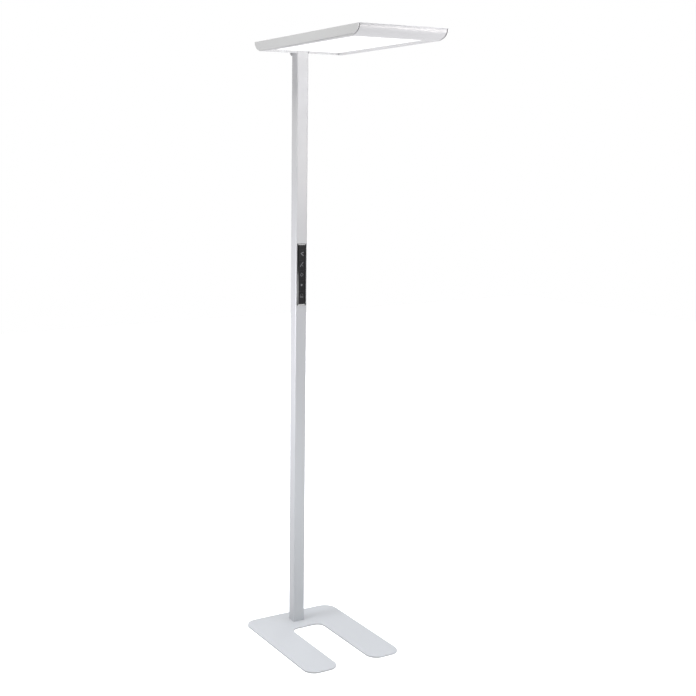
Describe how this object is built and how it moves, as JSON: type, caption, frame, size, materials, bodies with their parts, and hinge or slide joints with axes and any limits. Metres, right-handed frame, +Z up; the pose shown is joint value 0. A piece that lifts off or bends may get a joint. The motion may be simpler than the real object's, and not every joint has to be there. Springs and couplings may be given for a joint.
{
  "type": "office floor lamp",
  "caption": "Slim office floor lamp: flat lit head on a rectangular pole with a push-key panel, on a U-shaped steel base that slides round a desk leg.",
  "frame": {"origin": "on the floor, under the middle of the lamp's outer box", "axes": "+Z up; -Y the way the legs of the base and the head point; X across the lamp"},
  "size_m": [0.35, 0.637, 1.951],
  "materials": {
    "base_paint": "satin powder coat",
    "silver_paint": "satin silver powder coat",
    "bare_aluminium": "mill finish",
    "zinc_steel": "zinc plated",
    "pad_rubber": "matte",
    "seam_rubber": "matte",
    "collar_plastic": "satin silver",
    "panel_gloss": "high gloss",
    "key_gloss": "gloss film with light grey symbols",
    "black_plastic": "fine spark texture",
    "board_green": "solder mask",
    "cable_black": "matte sheath",
    "cable_white": "matte sheath",
    "opal_plastic": "opal, lit from inside",
    "clear_acrylic": "polished clear",
    "white_sheet": "matte white",
    "white_plastic": "matte",
    "brass_pin": "nickel plated"
  },
  "bodies": {
    "stand": {"base_plate": "base_paint", "base_pads": "pad_rubber", "base_bolts": "zinc_steel", "foot_plug": "bare_aluminium", "foot_plug_screws": "zinc_steel", "pole": "silver_paint", "power_inlet": "black_plastic", "inlet_pins": "brass_pin", "mains_lead": "cable_black", "panel_frame": "panel_gloss", "panel_tray": "black_plastic", "panel_screws": "zinc_steel", "panel_clips": "zinc_steel", "keypad_board": "board_green", "key_switches": "black_plastic", "control_lead": "cable_black", "top_plug": "bare_aluminium", "top_plug_screws": "zinc_steel", "head_bracket": "zinc_steel", "head_bolts": "zinc_steel", "bracket_screws": "zinc_steel", "pole_collar": "collar_plastic", "front_rail": "silver_paint", "back_rail": "silver_paint", "end_plate_left": "silver_paint", "end_plate_right": "silver_paint", "seam_fillers": "seam_rubber", "side_rail_left": "silver_paint", "side_rail_right": "silver_paint", "corner_blocks": "bare_aluminium", "end_plate_screws": "zinc_steel", "diffuser": "opal_plastic", "light_guide": "clear_acrylic", "reflector_sheet": "white_sheet", "led_strip_left": "white_plastic", "led_strip_right": "white_plastic", "backing_plate": "bare_aluminium", "driver": "white_plastic", "driver_screws": "zinc_steel", "terminal_block": "white_plastic", "driver_wires": "cable_white", "strip_leads": "cable_white", "top_cover": "silver_paint", "top_cover_screws": "zinc_steel"},
    "key_1_cap": {"key_1": "key_gloss"},
    "key_2_cap": {"key_2": "key_gloss"},
    "key_3_cap": {"key_3": "key_gloss"},
    "key_4_cap": {"key_4": "key_gloss"},
    "key_5_cap": {"key_5": "key_gloss"}
  },
  "joints": [
    {"name": "key_1_press", "type": "slide", "parent": "stand", "child": "key_1_cap", "axis": [0, 1, 0], "range_m": [0, 0.0006], "stiffness_N_per_m": 1500, "springref_m": -0.0005},
    {"name": "key_2_press", "type": "slide", "parent": "stand", "child": "key_2_cap", "axis": [0, 1, 0], "range_m": [0, 0.0006], "stiffness_N_per_m": 1500, "springref_m": -0.0005},
    {"name": "key_3_press", "type": "slide", "parent": "stand", "child": "key_3_cap", "axis": [0, 1, 0], "range_m": [0, 0.0006], "stiffness_N_per_m": 1500, "springref_m": -0.0005},
    {"name": "key_4_press", "type": "slide", "parent": "stand", "child": "key_4_cap", "axis": [0, 1, 0], "range_m": [0, 0.0006], "stiffness_N_per_m": 1500, "springref_m": -0.0005},
    {"name": "key_5_press", "type": "slide", "parent": "stand", "child": "key_5_cap", "axis": [0, 1, 0], "range_m": [0, 0.0006], "stiffness_N_per_m": 1500, "springref_m": -0.0005}
  ]
}
